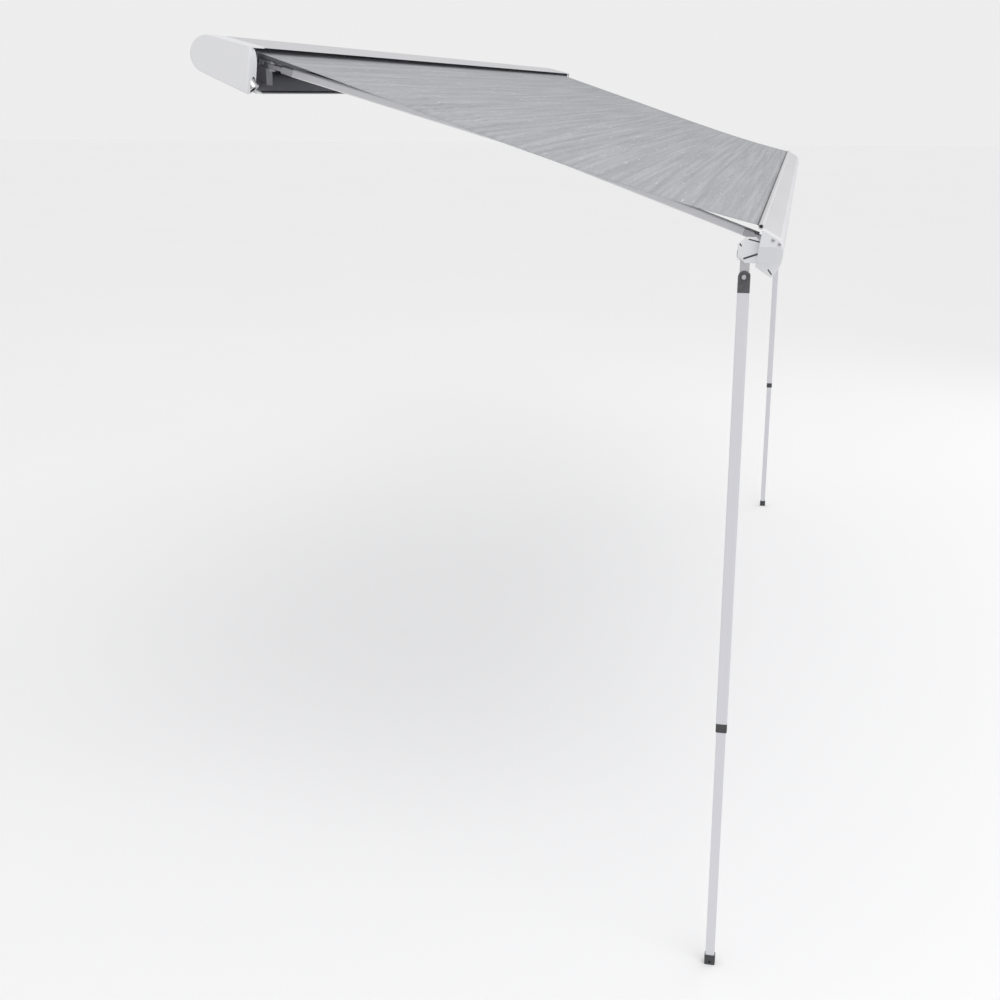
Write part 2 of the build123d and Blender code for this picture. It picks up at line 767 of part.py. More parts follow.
def shoulder_bracket():
    """The right shoulder's fork and the foot below it."""
    front = leg_back - foot_gap
    back = front - foot_length
    under = on_slope(shoulder, 0, -(plate_outer + plate_inner) / 2)
    shelf_out = front - foot_shoulder

    def under_fork(out):
        return under[1] - (out - under[0]) * tan(fall)

    foot = along_wall(polygon(
        (back, floor_height(back, housing_wall)), (front, floor_height(front, housing_wall)),
        (front, under_fork(front)), (shelf_out, under_fork(shelf_out)),
        (back, floor_height(back, housing_wall) + foot_rise),
    ), shoulder_x - fork_half_width, shoulder_x + fork_half_width)
    head_room = extrude(bracket_plane(shoulder) * Circle(pin_head_radius + pin_gap),
                        amount=plate_outer + pin_end + pin_gap, both=True)
    return fork(shoulder, 1) + (foot - head_room)


pieces["shoulder_brackets"] = both_ends(shoulder_bracket())
pieces["shoulder_pins"] = both_ends(hinge_pin(shoulder))

# Wrist brackets: forks that stand on the inner face of the lead rail's front wall
rail_inside = offset(rail_outline(), amount=-rail_wall, kind=Kind.INTERSECTION)


def wrist_bracket():
    """The right wrist's fork and the block that ties it to the rail."""
    start = plate_radius + web_gap
    block = Pos(0, -(start + overrun) / 2) * Rectangle(2 * fork_half_width, overrun - start)
    body = extrude(bracket_plane(wrist) * block, amount=plate_outer, both=True)
    body &= along_wall(rail_inside, shoulder_x - overrun, shoulder_x + overrun)
    fins = along_wall(polygon(*[
        (on_rail((0, share))[0] + side * rail_depth, on_rail((0, share))[1] - drop)
        for share in fin_shares[:1] for side, drop in (
            (0, 0), (1, 0), (1, fin_thickness), (0, fin_thickness))
    ]), shoulder_x - overrun, shoulder_x + overrun)
    return fork(wrist, -1) + (body - fins)


pieces["wrist_brackets"] = both_ends(wrist_bracket())
pieces["wrist_pins"] = both_ends(hinge_pin(wrist))

# Lead rail ends: moulded caps, stepped below so that the crank eye stays free, each with a
# faceted bearing block that carries the pin the leg folds on
rail_cap_wall = 3.0
rail_cap_spigot = 20.0
spigot_depth_share = 0.6
step_top_share = 0.66
step_middle_shares = (0.4, 0.5)
step_low_share = 0.3
facet_radius = 32.0
facet_count = 8
facet_out = 12.0
facet_rise = 12.0
facet_gap = 1.8
facet_thickness = 3.5
lug_length = 12.0
lug_half = 11.0
lug_thickness = 5.0
fold_pin_radius = 4.5
fold_pin_head = 7.0
fold_pin_head_height = 2.0
link_half = 5.0
barrel_radius = 8.0
lug_inner = 12.0
step_length = 39.0


def rail_cap():
    """The right end of the lead rail, hollow from its inner side."""
    outline = rail_outline()
    inside = offset(outline, amount=-rail_cap_wall, kind=Kind.INTERSECTION)
    inner_edge = rail_cap_outer - step_length
    base = on_rail((0, 0))[1]

    def level(share):
        return base + share * rail_height

    def lower_corner(inset):
        """What is cut away below the step, seen from the front."""
        outer = rail_cap_outer + overrun
        top = level(step_top_share) + inset
        start = (rail_cap_outer + inset, top)
        middle = (inner_edge + step_length * step_middle_shares[0] - inset,
                  base + rail_height * step_middle_shares[1] + inset)
        low = (inner_edge - inset, level(step_low_share))
        face = face_of(
            Line((outer, top), start), ThreePointArc(start, middle, low),
            Line(low, (inner_edge - inset, base - overrun)),
            Line((inner_edge - inset, base - overrun), (outer, base - overrun)),
            Line((outer, base - overrun), (outer, top)))
        deep = on_rail((0, 0))[0] + 2 * rail_depth
        return extrude(Plane.XZ * face, amount=deep, dir=(0, -1, 0))

    cap = along_wall(outline, rail_end, rail_cap_outer) - lower_corner(0)
    hollow = along_wall(inside, rail_end, rail_cap_outer - rail_cap_wall)
    hollow -= lower_corner(rail_cap_wall)
    snug = offset(outline, amount=-(rail_wall + plug_gap), kind=Kind.INTERSECTION)
    front = on_rail((spigot_depth_share, 0))[0]
    clip = polygon((front, base - overrun), (front + rail_depth, base - overrun),
                   (front + rail_depth, base + 2 * rail_height), (front, base + 2 * rail_height))
    core = offset(outline, amount=-(rail_wall + plug_gap + spigot_wall), kind=Kind.INTERSECTION)
    spigot = along_wall((snug - core) & clip, rail_end - rail_cap_spigot,
                        rail_end + rail_cap_wall * 2)
    for share in fin_shares:
        height = on_rail((0, share))[1]
        spigot -= along_wall(polygon(
            (front - overrun, height + fin_thickness), (front + rail_depth, height + fin_thickness),
            (front + rail_depth, height - 2 * fin_thickness),
            (front - overrun, height - 2 * fin_thickness),
        ), rail_end - rail_cap_spigot, rail_end)
    return cap - hollow + spigot + bearing_block()


def bearing_block():
    """A faceted plate beside the leg's link, with two lugs that hold the fold pin."""
    centre = (fold_pivot[0] + facet_out, fold_pivot[1] + facet_rise)
    plate = Pos(*flat(centre)) * Rot(0, 0, full_turn / (2 * facet_count)) * RegularPolygon(
        facet_radius, facet_count)
    plate_inner_x = leg_x + barrel_radius + facet_gap / 2
    block = along_wall(plate, plate_inner_x, plate_inner_x + facet_thickness)
    for start in (lug_inner, -lug_inner - lug_thickness):
        block += along_wall(polygon(
            (fold_pivot[0] + start, fold_pivot[1] + lug_half),
            (fold_pivot[0] + start + lug_thickness, fold_pivot[1] + lug_half),
            (fold_pivot[0] + start + lug_thickness, fold_pivot[1] - lug_half),
            (fold_pivot[0] + start, fold_pivot[1] - lug_half),
        ), leg_x - lug_length, plate_inner_x + facet_thickness)
    hole = rod(in_space(leg_x, (fold_pivot[0] - leg_width, fold_pivot[1])),
               in_space(leg_x, (fold_pivot[0] + lug_inner + lug_thickness, fold_pivot[1])),
               fold_pin_radius)
    return block - hole


def fold_pin():
    """The pin that the leg's link swings on."""
    head_out = fold_pivot[0] - lug_inner - lug_thickness
    pin = rod(in_space(leg_x, (head_out, fold_pivot[1])),
              in_space(leg_x, (fold_pivot[0] + lug_inner + lug_thickness, fold_pivot[1])),
              fold_pin_radius)
    head = rod(in_space(leg_x, (head_out - fold_pin_head_height, fold_pivot[1])),
               in_space(leg_x, (head_out, fold_pivot[1])), fold_pin_head)
    return pin + head


right_rail_cap = rail_cap()
pieces["right_rail_cap"] = right_rail_cap
pieces["left_rail_cap"] = mirrored(right_rail_cap)
pieces["leg_fold_pins"] = both_ends(fold_pin())

# Rail cap screws: two pan heads in the outer face of each cap
screw_head_radius = 4.5
screw_head_height = 2.0
screw_radius = 2.2
screw_shares = ((0.62, 0.8), (0.86, 0.72))


def rail_cap_screw(share):
    """One screw of the right cap, driven in along the rail."""
    place = on_rail(share)
    head_end = in_space(rail_cap_outer + screw_head_height, place)
    seat = in_space(rail_cap_outer, place)
    tip = in_space(rail_cap_outer - rail_cap_wall, place)
    return rod(seat, head_end, screw_head_radius), rod(tip, seat, screw_radius)


screws = []
for share in screw_shares:
    head, shank = rail_cap_screw(share)
    screws.append(head + shank)
    pieces["right_rail_cap"] -= shank
pieces["left_rail_cap"] = mirrored(pieces["right_rail_cap"])
pieces["rail_cap_screws"] = Compound(children=[
    solid for screw in screws for solid in (*screw.solids(), *mirrored(screw).solids())])

# Legs: a steel link on the fold pin, a cast knuckle, and two tubes that slide in each other
link_width = 23.0
knuckle_radius = 14.0
knuckle_shoulder = 16.0
knuckle_height = 36.0
knuckle_slot_gap = 0.5
link_end_radius = 11.0
knuckle_head = 8.0
collar_height = 24.0
foot_block = 28.0
foot_socket = 15.0
foot_hole_radius = 3.0
foot_hole_height = 8.0
inner_wall = 1.6
leg_corner = 4.0
inner_width = leg_width - 2 * (leg_wall + slide_gap)
inner_thickness = leg_thickness - 2 * (leg_wall + slide_gap)
knuckle_bottom = knuckle_pivot[1] - knuckle_height
outer_bottom = knuckle_bottom - leg_tube_length
collar_bottom = outer_bottom - collar_height
leg_middle = fold_pivot[0]


def leg_bar(top, bottom, width, thickness, corner):
    """An upright bar with rounded edges, in line with the right leg."""
    base = Plane(origin=(leg_x, -leg_middle, bottom), x_dir=(0, 1, 0), z_dir=(0, 0, 1))
    return extrude(base * RectangleRounded(width, thickness, corner), amount=top - bottom)


def leg_link():
    """A barrel on the fold pin with a plate that reaches down to the knuckle."""
    barrel_start = in_space(leg_x, (leg_middle - link_width / 2, fold_pivot[1]))
    barrel_end = in_space(leg_x, (leg_middle + link_width / 2, fold_pivot[1]))
    half = link_end_radius
    plate = polygon((leg_middle - half, fold_pivot[1]), (leg_middle + half, fold_pivot[1]),
                    (leg_middle + half, knuckle_pivot[1]), (leg_middle - half, knuckle_pivot[1]))
    plate += Pos(*flat(knuckle_pivot)) * Circle(half)
    plate -= Pos(*flat(knuckle_pivot)) * Circle(pin_radius)
    link = along_wall(plate, leg_x - link_half, leg_x + link_half)
    link += rod(barrel_start, barrel_end, barrel_radius)
    return link - rod(barrel_start, barrel_end, fold_pin_radius + running_gap)


def leg_knuckle():
    """The cast fork on the link's lower end, with a spigot for the leg's tube."""
    half = leg_width / 2
    low = knuckle_pivot[1] - knuckle_shoulder
    block = polygon((leg_middle - half, low), (leg_middle + half, low),
                    (leg_middle + half, knuckle_bottom), (leg_middle - half, knuckle_bottom))
    eye = Pos(*flat(knuckle_pivot)) * Circle(knuckle_radius)
    cheeks = make_hull(block.edges() + eye.edges())
    cheeks -= Pos(*flat(knuckle_pivot)) * Circle(pin_radius + pin_gap)
    body = along_wall(cheeks, leg_x - leg_thickness / 2, leg_x + leg_thickness / 2)
    slot_low = knuckle_pivot[1] - link_end_radius - link_half / 2
    slot = polygon((leg_middle - leg_width, slot_low), (leg_middle + leg_width, slot_low),
                   (leg_middle + leg_width, slot_low + link_length),
                   (leg_middle - leg_width, slot_low + link_length))
    slot_half = link_half + knuckle_slot_gap
    body -= along_wall(slot, leg_x - slot_half, leg_x + slot_half)
    fit = leg_wall + plug_gap
    return body + leg_bar(knuckle_bottom, knuckle_bottom - plug_reach, leg_width - 2 * fit,
                          leg_thickness - 2 * fit, leg_corner - leg_wall)


def knuckle_pin():
    """The riveted pin between link and knuckle."""
    half = leg_thickness / 2
    start = in_space(leg_x - half - pin_head_height, knuckle_pivot)
    end = in_space(leg_x + half + pin_head_height, knuckle_pivot)
    left_face = in_space(leg_x - half, knuckle_pivot)
    right_face = in_space(leg_x + half, knuckle_pivot)
    return (rod(start, end, pin_radius) + rod(start, left_face, knuckle_head)
            + rod(right_face, end, knuckle_head))


def leg_foot():
    """The moulded foot, with a socket for the inner tube and a hole for a peg."""
    foot_top = -foot_height + foot_block
    foot = leg_bar(foot_top, -foot_height, leg_width, leg_thickness, leg_corner)
    foot -= leg_bar(foot_top, foot_top - foot_socket, inner_width, inner_thickness,
                    leg_corner - leg_wall)
    hole_start = in_space(leg_x - leg_thickness, (leg_middle, -foot_height + foot_hole_height))
    hole_end = in_space(leg_x + leg_thickness, (leg_middle, -foot_height + foot_hole_height))
    return foot - rod(hole_start, hole_end, foot_hole_radius)


outer_leg = leg_bar(knuckle_bottom, outer_bottom, leg_width, leg_thickness, leg_corner)
outer_leg -= leg_bar(knuckle_bottom, outer_bottom, leg_width - 2 * leg_wall,
                     leg_thickness - 2 * leg_wall, leg_corner - leg_wall)
inner_top = outer_bottom + leg_overlap
inner_bottom = -foot_height + foot_block - foot_socket
inner_leg = leg_bar(inner_top, inner_bottom, inner_width, inner_thickness,
                    leg_corner - leg_wall)
inner_leg -= leg_bar(inner_top, inner_bottom, inner_width - 2 * inner_wall,
                     inner_thickness - 2 * inner_wall, leg_corner - leg_wall - inner_wall / 2)
collar = leg_bar(outer_bottom, collar_bottom, leg_width, leg_thickness, leg_corner)
collar -= leg_bar(outer_bottom, collar_bottom, inner_width + slide_gap,
                  inner_thickness + slide_gap, leg_corner - leg_wall)
leg_pieces = {
    "leg_link": leg_link(), "leg_knuckle": leg_knuckle(), "knuckle_pin": knuckle_pin(),
    "leg_outer": outer_leg, "leg_collar": collar, "leg_inner": inner_leg, "leg_foot": leg_foot()}
for name, shape in leg_pieces.items():
    pieces["right_" + name] = shape
    pieces["left_" + name] = mirrored(shape)

# Housing screws: two at each end cap, two in each shoulder bracket and two in each wall bracket
floor_screw_radius = 2.5
floor_screw_head = 5.0
floor_screw_head_height = 2.5
floor_screw_grip = 6.0
cap_screw_outs = (60.0, 84.0)
cap_screw_inset = 12.0
bracket_screw_spacing = 80.0
bracket_screw_out = 60.0


def floor_screw(x, out, below=0):
    """A screw from below, square to the housing floor."""
    foot = in_space(x, (out, floor_height(out, -below)))
    inward = Vector(0, floor_normal[0], -floor_normal[1])
    shank = rod(foot, foot + inward * (below + floor_screw_grip), floor_screw_radius)
    head = rod(foot - inward * floor_screw_head_height, foot, floor_screw_head)
    return head, shank


screw_places = []
for side in (-1, 1):
    for out in cap_screw_outs:
        screw_places.append((side * (shell_end - cap_screw_inset), out, 0))
    for step in (-1, 1):
        screw_places.append((side * shoulder_x + step * plate_radius / 2,
                             leg_back - foot_gap - foot_length / 2, 0))
for centre in (-bracket_pitch, 0, bracket_pitch):
    for step in (-1, 1):
        screw_places.append((centre + step * bracket_screw_spacing / 2, bracket_screw_out,
                             shelf_thickness))
housing_screws = []
screw_holes = []
for x, out, below in screw_places:
    head, shank = floor_screw(x, out, below)
    housing_screws.append(head + shank)
    screw_holes.append(shank)
for name in ("housing_shell", "left_housing_cap", "right_housing_cap", "shoulder_brackets",
             "wall_bracket_left", "wall_bracket_centre", "wall_bracket_right"):
    pieces[name] -= screw_holes
pieces["housing_screws"] = Compound(children=[
    solid for screw in housing_screws for solid in screw.solids()])

os.makedirs("parts", exist_ok=True)
for name, shape in pieces.items():
    export_step(shape, "parts/" + name + ".step")
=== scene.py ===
import json
import math
import random

import bmesh
import bpy
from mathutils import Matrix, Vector


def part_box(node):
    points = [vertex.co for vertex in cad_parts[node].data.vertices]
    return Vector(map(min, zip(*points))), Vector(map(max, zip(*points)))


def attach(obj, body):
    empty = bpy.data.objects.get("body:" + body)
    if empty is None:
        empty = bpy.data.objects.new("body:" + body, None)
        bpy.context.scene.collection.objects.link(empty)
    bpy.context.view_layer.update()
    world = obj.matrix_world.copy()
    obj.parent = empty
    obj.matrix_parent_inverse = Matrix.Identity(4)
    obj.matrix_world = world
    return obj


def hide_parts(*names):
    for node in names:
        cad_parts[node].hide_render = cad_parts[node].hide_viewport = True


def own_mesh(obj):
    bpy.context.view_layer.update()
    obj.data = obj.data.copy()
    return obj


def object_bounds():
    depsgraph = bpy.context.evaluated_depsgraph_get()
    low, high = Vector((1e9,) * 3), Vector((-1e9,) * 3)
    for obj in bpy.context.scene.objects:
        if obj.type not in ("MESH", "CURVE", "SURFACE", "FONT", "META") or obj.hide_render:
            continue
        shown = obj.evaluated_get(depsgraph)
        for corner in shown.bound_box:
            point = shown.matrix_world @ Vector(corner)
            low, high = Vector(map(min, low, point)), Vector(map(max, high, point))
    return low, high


# The roll-out awning in its finishes, wide open with both legs down. X runs along the wall, -Y
# points away from it and +Z is up, and lengths are in metres. Pieces follow in the order in
# which the awning is put together.
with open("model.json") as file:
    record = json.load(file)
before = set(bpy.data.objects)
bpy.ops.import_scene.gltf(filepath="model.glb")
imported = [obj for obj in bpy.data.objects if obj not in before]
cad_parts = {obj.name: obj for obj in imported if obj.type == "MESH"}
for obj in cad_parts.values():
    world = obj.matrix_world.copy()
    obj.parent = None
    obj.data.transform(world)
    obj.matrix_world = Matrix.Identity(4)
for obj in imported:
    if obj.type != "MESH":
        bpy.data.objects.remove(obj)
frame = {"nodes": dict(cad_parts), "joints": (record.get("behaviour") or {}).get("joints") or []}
cad_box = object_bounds()


# Wall brackets: three saddles of cast aluminium that the back of the housing rests in. They are
# powder coated in a pale grey and bolted through the wall.
class Shade:
    """A number, colour or vector of a finish's shader, written in sums like a plain number."""

    def __init__(self, tree, socket):
        self.tree = tree
        self.socket = socket

    def node(self, kind, settings=None, values=None, output=0):
        """Adds a node: its settings first, then the values or links of its sockets."""
        made = self.tree.nodes.new("ShaderNode" + kind)
        for name, value in (settings or {}).items():
            setattr(made, name, value)
        for name, value in (values or {}).items():
            if isinstance(value, Shade):
                self.tree.links.new(value.socket, made.inputs[name])
            else:
                made.inputs[name].default_value = value
        return Shade(self.tree, made.outputs[output]) if made.outputs else None

    def reckon(self, operation, *others):
        """One step of shader maths, on vectors where a term is one."""
        terms = (self, *others)

        def is_wide(term):
            if isinstance(term, Shade):
                return term.socket.type in ("VECTOR", "RGBA")
            return isinstance(term, tuple)

        if not any(is_wide(term) for term in terms):
            return self.node("Math", {"operation": operation}, dict(enumerate(terms)))
        terms = [(term, term, term) if isinstance(term, (int, float)) else term for term in terms]
        return self.node("VectorMath", {"operation": operation}, dict(enumerate(terms)))

    def __add__(self, other):
        return self.reckon("ADD", other)

    def __radd__(self, other):
        return self + other

    def __sub__(self, other):
        return self.reckon("SUBTRACT", other)

    def __rsub__(self, other):
        return self * -1.0 + other

    def __mul__(self, other):
        return self.reckon("MULTIPLY", other)

    def __rmul__(self, other):
        return self * other

    def along(self, direction):
        """How far a place lies along a direction."""
        return self.node("VectorMath", {"operation": "DOT_PRODUCT"}, {0: self, 1: direction},
                         "Value")

    def grain(self, detail=2.0):
        """Soft random grain from 0 to 1 at a scaled place."""
        return self.node("TexNoise", values={"Vector": self, "Scale": 1.0, "Detail": detail})

    def step(self, low, high):
        """A soft step from 0 at one value to 1 at another."""
        return self.node("MapRange", {"interpolation_type": "SMOOTHSTEP"},
                         {"Value": self, "From Min": low, "From Max": high})

    def between(self, first, second):
        """A colour between two, as far towards the second as this number says."""
        return self.node("Mix", {"data_type": "RGBA"}, {0: self, 6: first, 7: second}, 2)

    def relief(self, depth, strength=1.0):
        """A surface raised by this number times a depth in metres."""
        return self.node("Bump", values={"Strength": strength, "Distance": depth, "Height": self})


def start_finish(name):
    """A new finish, and the place on the awning that its shader works from."""
    finish = bpy.data.materials.new(name)
    finish.use_nodes = True
    finish.node_tree.nodes.clear()
    return finish, Shade(finish.node_tree, None).node("TexCoord", output="Object")


def end_finish(place, look):
    """Joins a shader with this look to the finish's output."""
    shader = place.node("BsdfPrincipled", values=look)
    place.node("OutputMaterial", values={"Surface": shader})


def dress(names, finish, edge=0.0005):
    """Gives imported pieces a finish, and takes the sharpness off their edges."""
    for name in names:
        piece = frame["nodes"][name]
        piece.data.materials.clear()
        piece.data.materials.append(finish)
        piece.data.polygons.foreach_set("material_index", [0] * len(piece.data.polygons))
        piece.data.polygons.foreach_set("use_smooth", [True] * len(piece.data.polygons))
        weld = piece.modifiers.new("weld", "WELD")
        weld.merge_threshold = 0.00001
        flats = piece.modifiers.new("flats", "DECIMATE")
        flats.decimate_type = "DISSOLVE"
        flats.angle_limit = math.radians(0.5)
        bevel = piece.modifiers.new("edges", "BEVEL")
        bevel.width = edge
        bevel.segments = 2
        bevel.angle_limit = math.radians(30)
        bevel.use_clamp_overlap = False
        normals = piece.modifiers.new("normals", "WEIGHTED_NORMAL")
        normals.weight = 100
        normals.keep_sharp = False


bracket_colour = (0.55, 0.56, 0.57, 1)
bracket_worn_colour = (0.48, 0.49, 0.50, 1)
bracket_edge = 0.001
peel_scale = 900.0
peel_depth = 0.00006
bracket_finish, place = start_finish("powder_coated_casting")
wear = (place * 9.0).grain()
end_finish(place, {
    "Base Color": wear.between(bracket_colour, bracket_worn_colour),
    "Roughness": 0.42 + 0.16 * (place * 60.0).grain(),
    "Normal": (place * peel_scale).grain(1.0).relief(peel_depth),
})
dress(["wall_bracket_left", "wall_bracket_centre", "wall_bracket_right"], bracket_finish,
      bracket_edge)

# Housing: one extrusion of satin anodised aluminium, a round back that opens into a long mouth.
# The die leaves fine lines along its whole length.
anodised_light = (0.66, 0.66, 0.685, 1)
anodised_dark = (0.55, 0.55, 0.575, 1)
die_line_scale = (0.35, 1400.0, 1400.0)
die_line_depth = 0.00002
housing_edge = 0.0006


def anodised(name, lines_scale, light, dark, metallic=0.82):
    """Satin anodised aluminium with the die's fine lines along one direction."""
    finish, place = start_finish(name)
    lines = (place * lines_scale).grain(3.0)
    clouds = (place * 1.7).grain()
    end_finish(place, {
        "Base Color": (lines * 0.6 + clouds * 0.4).between(light, dark),
        "Metallic": metallic,
        "Roughness": 0.30 + 0.14 * lines + 0.06 * clouds,
        "Normal": lines.relief(die_line_depth, 0.5),
    })
    return finish


housing_finish = anodised("anodised_housing", die_line_scale, anodised_light, anodised_dark)
dress(["housing_shell"], housing_finish, housing_edge)

# Lip seal: a soft black rubber strip pressed onto the lower lip, where the lead rail shuts
# against it.
rubber_black = (0.018, 0.018, 0.019, 1)
rubber_dusty = (0.045, 0.045, 0.046, 1)
dust_scale = (6.0, 300.0, 300.0)
rubber_skin_depth = 0.00004
seal_edge = 0.0003
seal_finish, place = start_finish("seal_rubber")
rubber_dust = (place * dust_scale).grain()
end_finish(place, {
    "Base Color": rubber_dust.between(rubber_black, rubber_dusty),
    "Roughness": 0.62 + 0.2 * rubber_dust,
    "Normal": (place * 1500.0).grain().relief(rubber_skin_depth),
})
dress(["lip_seal"], seal_finish, seal_edge)

# Housing ends: caps moulded in white plastic, pushed into the ends of the extrusion. They hold
# the roller's bushes, and the left one also the crank. A slim seam runs round each end plate,
# and the shade in it is painted on as a dark line.
moulding_white = (0.71, 0.71, 0.725, 1)
moulding_grey = (0.66, 0.665, 0.685, 1)
seam_shadow_colour = (0.16, 0.16, 0.17, 1)
moulded_skin_depth = 0.00003
housing_cap_edge = 0.0008
end_plate_thickness = 0.02
seam_middle = cad_box[1][0] - end_plate_thickness
seam_half = 0.0007
moulding_finish, place = start_finish("white_moulding")
moulded_skin = (place * 1300.0).grain(1.0)
flow_marks = (place * (14.0, 5.0, 5.0)).grain()
across = place.along((1.0, 0.0, 0.0))
from_seam = across.reckon("ABSOLUTE") - seam_middle
# Painted shadow: a thin dark line round the end plate, where its groove would lie in shade.
seam_shadow = 1.0 - from_seam.reckon("ABSOLUTE").step(seam_half * 0.6, seam_half)
moulded_colour = flow_marks.between(moulding_white, moulding_grey)
end_finish(place, {
    "Base Color": (seam_shadow * 0.8).between(moulded_colour, seam_shadow_colour),
    "Roughness": 0.30 + 0.12 * flow_marks + 0.05 * moulded_skin,
    "Normal": moulded_skin.relief(moulded_skin_depth),
})
dress(["left_housing_cap", "right_housing_cap"], moulding_finish, housing_cap_edge)

# Crank gear: a turned eye for the hook of the crank, on a steel shaft with a worm. The worm
# drives a bronze wheel on the roller's end, in a dark moulded casing.
steel_light = (0.62, 0.62, 0.63, 1)
steel_dark = (0.42, 0.42, 0.44, 1)
gear_steel_light = (0.40, 0.40, 0.41, 1)
gear_steel_dark = (0.24, 0.24, 0.25, 1)
bronze_light = (0.58, 0.40, 0.20, 1)
bronze_dark = (0.40, 0.25, 0.11, 1)
dark_plastic = (0.035, 0.036, 0.038, 1)
dark_plastic_worn = (0.06, 0.061, 0.064, 1)
scratch_scale = (700.0, 700.0, 2500.0)
scratch_depth = 0.00001
pebble_scale = 1100.0
pebble_depth = 0.0001
crank_eye_edge = 0.0008
gear_edge = 0.0001
small_edge = 0.0003


def bright_metal(name, light, dark, roughness):
    """Turned or drawn metal with fine scratches and a little tarnish."""
    finish, place = start_finish(name)
    scratches = (place * scratch_scale).grain(4.0)
    tarnish = (place * 80.0).grain()
    end_finish(place, {
        "Base Color": (tarnish * 0.7 + scratches * 0.3).between(light, dark),
        "Metallic": 1.0,
        "Roughness": roughness + 0.12 * scratches + 0.1 * tarnish,
        "Normal": scratches.relief(scratch_depth, 0.6),
    })
    return finish


def cast_metal(name, light, dark, roughness):
    """Die-cast metal with a fine pebbled skin."""
    finish, place = start_finish(name)
    pebbles = (place * pebble_scale).grain(1.0)
    blotches = (place * 130.0).grain(3.0)
    end_finish(place, {
        "Base Color": (blotches * 0.75 + pebbles * 0.25).between(light, dark),
        "Metallic": 0.75,
        "Roughness": roughness + 0.14 * blotches,
        "Normal": pebbles.relief(pebble_depth),
    })
    return finish


stainless_finish = bright_metal("stainless", steel_light, steel_dark, 0.2)
gear_steel_finish = bright_metal("gear_steel", gear_steel_light, gear_steel_dark, 0.3)
bronze_finish = bright_metal("gear_bronze", bronze_light, bronze_dark, 0.3)
dark_moulding_finish, place = start_finish("dark_moulding")
dark_skin = (place * 1000.0).grain(1.0)
end_finish(place, {
    "Base Color": (place * 30.0).grain().between(dark_plastic, dark_plastic_worn),
    "Roughness": 0.45 + 0.15 * dark_skin,
    "Normal": dark_skin.relief(0.00006),
})
dress(["crank_eye"], stainless_finish, crank_eye_edge)
dress(["worm_shaft"], gear_steel_finish, gear_edge)
dress(["worm_wheel"], bronze_finish, gear_edge)
dress(["gearbox_casing", "crank_bush"], dark_moulding_finish, small_edge)

# Roller: a galvanised steel tube on two plugs, and the turns of cloth that stay on it when the
# canopy is wide open. The turns are one spiral ribbon that ends at the top of the roll.
zinc_dark = (0.40, 0.41, 0.42, 1)
zinc_light = (0.58, 0.59, 0.60, 1)
grey_weights = (0.33, 0.33, 0.34)
roller_finish, place = start_finish("galvanised_steel")
crystals = place.node("TexVoronoi", values={"Vector": place * 60.0, "Scale": 1.0}, output="Color")
spangle = crystals.along(grey_weights)
end_finish(place, {
    "Base Color": spangle.between(zinc_dark, zinc_light),
    "Metallic": 1.0,
    "Roughness": 0.28 + 0.2 * spangle,
    "Normal": (place * 400.0).grain().relief(0.00003),
})
dress(["roller_tube"], roller_finish, small_edge)
dress(["roller_plugs", "roller_bushes"], dark_moulding_finish, small_edge)

joints = {joint["name"]: joint for joint in frame["joints"]}
shoulder = Vector(joints["left_shoulder"]["pos_m"])
elbow = Vector(joints["left_elbow"]["pos_m"])
wrist = Vector(joints["right_wrist"]["pos_m"])
wrist.x = shoulder.x
down_slope = (wrist - shoulder).normalized()
off_slope = Vector((0, down_slope.z, -down_slope.y))

cloth_dark = (0.285, 0.29, 0.31, 1)
cloth_light = (0.42, 0.425, 0.44, 1)
slub_colour = (0.66, 0.66, 0.68, 1)
hem_colour = (0.30, 0.305, 0.32, 1)
thread_scale = (9.0, 620.0)
slub_scale = (7.0, 210.0)
slub_shift = 31.0
band_scale = (0.9, 70.0)
band_shift = 17.0
rib_pitch = 0.0024
weave_depth = 0.00025
hem_width = 0.022
hem_step = 0.0006
canopy_low, canopy_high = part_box("canopy")
cloth_width = canopy_high.x - canopy_low.x
cloth_finish, place = start_finish("grey_cloth")
across = place.along((1.0, 0.0, 0.0))
down = place.along(tuple(down_slope))
threads = place.node("CombineXYZ", values={
    0: across * thread_scale[0], 1: down * thread_scale[1]}).grain(2.0)
slubs = place.node("CombineXYZ", values={
    0: across * slub_scale[0] + slub_shift, 1: down * slub_scale[1]}).grain(1.0)
slubs = slubs.step(0.66, 0.76)
bands = place.node("CombineXYZ", values={
    0: across * band_scale[0], 1: down * band_scale[1] + band_shift}).grain(2.0)
ribs = (down * (2 * math.pi / rib_pitch)).reckon("SINE")
hem_edge = cloth_width / 2 - hem_width
hem = across.reckon("ABSOLUTE").step(hem_edge - hem_step, hem_edge)
weave = (threads * 0.45 + bands * 0.55).step(0.32, 0.68).between(cloth_dark, cloth_light)
end_finish(place, {
    "Base Color": (hem * 0.25).between((slubs * 0.75).between(weave, slub_colour), hem_colour),
    "Roughness": 0.62 + 0.16 * threads,
    "Normal": (threads * 0.5 + ribs * 0.25 + slubs * 0.3 + hem).relief(weave_depth, 0.8),
})
ply = 0.0005
roll_low, roll_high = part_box("fabric_roll")
roll_middle = (roll_low + roll_high) / 2
roll_radius = (roll_high.z - roll_low.z) / 2
tube_low, tube_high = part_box("roller_tube")
tube_radius = (tube_high.z - tube_low.z) / 2


def ribbon_mesh(name, lines):
    """A mesh of strips between lines of equally many points."""
    count = len(lines[0])
    mesh = bpy.data.meshes.new(name)
    mesh.from_pydata(
        [tuple(point) for line in lines for point in line], [],
        [(row * count + step, row * count + step + 1,
          (row + 1) * count + step + 1, (row + 1) * count + step)
         for row in range(len(lines) - 1) for step in range(count - 1)])
    mesh.polygons.foreach_set("use_smooth", [True] * len(mesh.polygons))
    return mesh


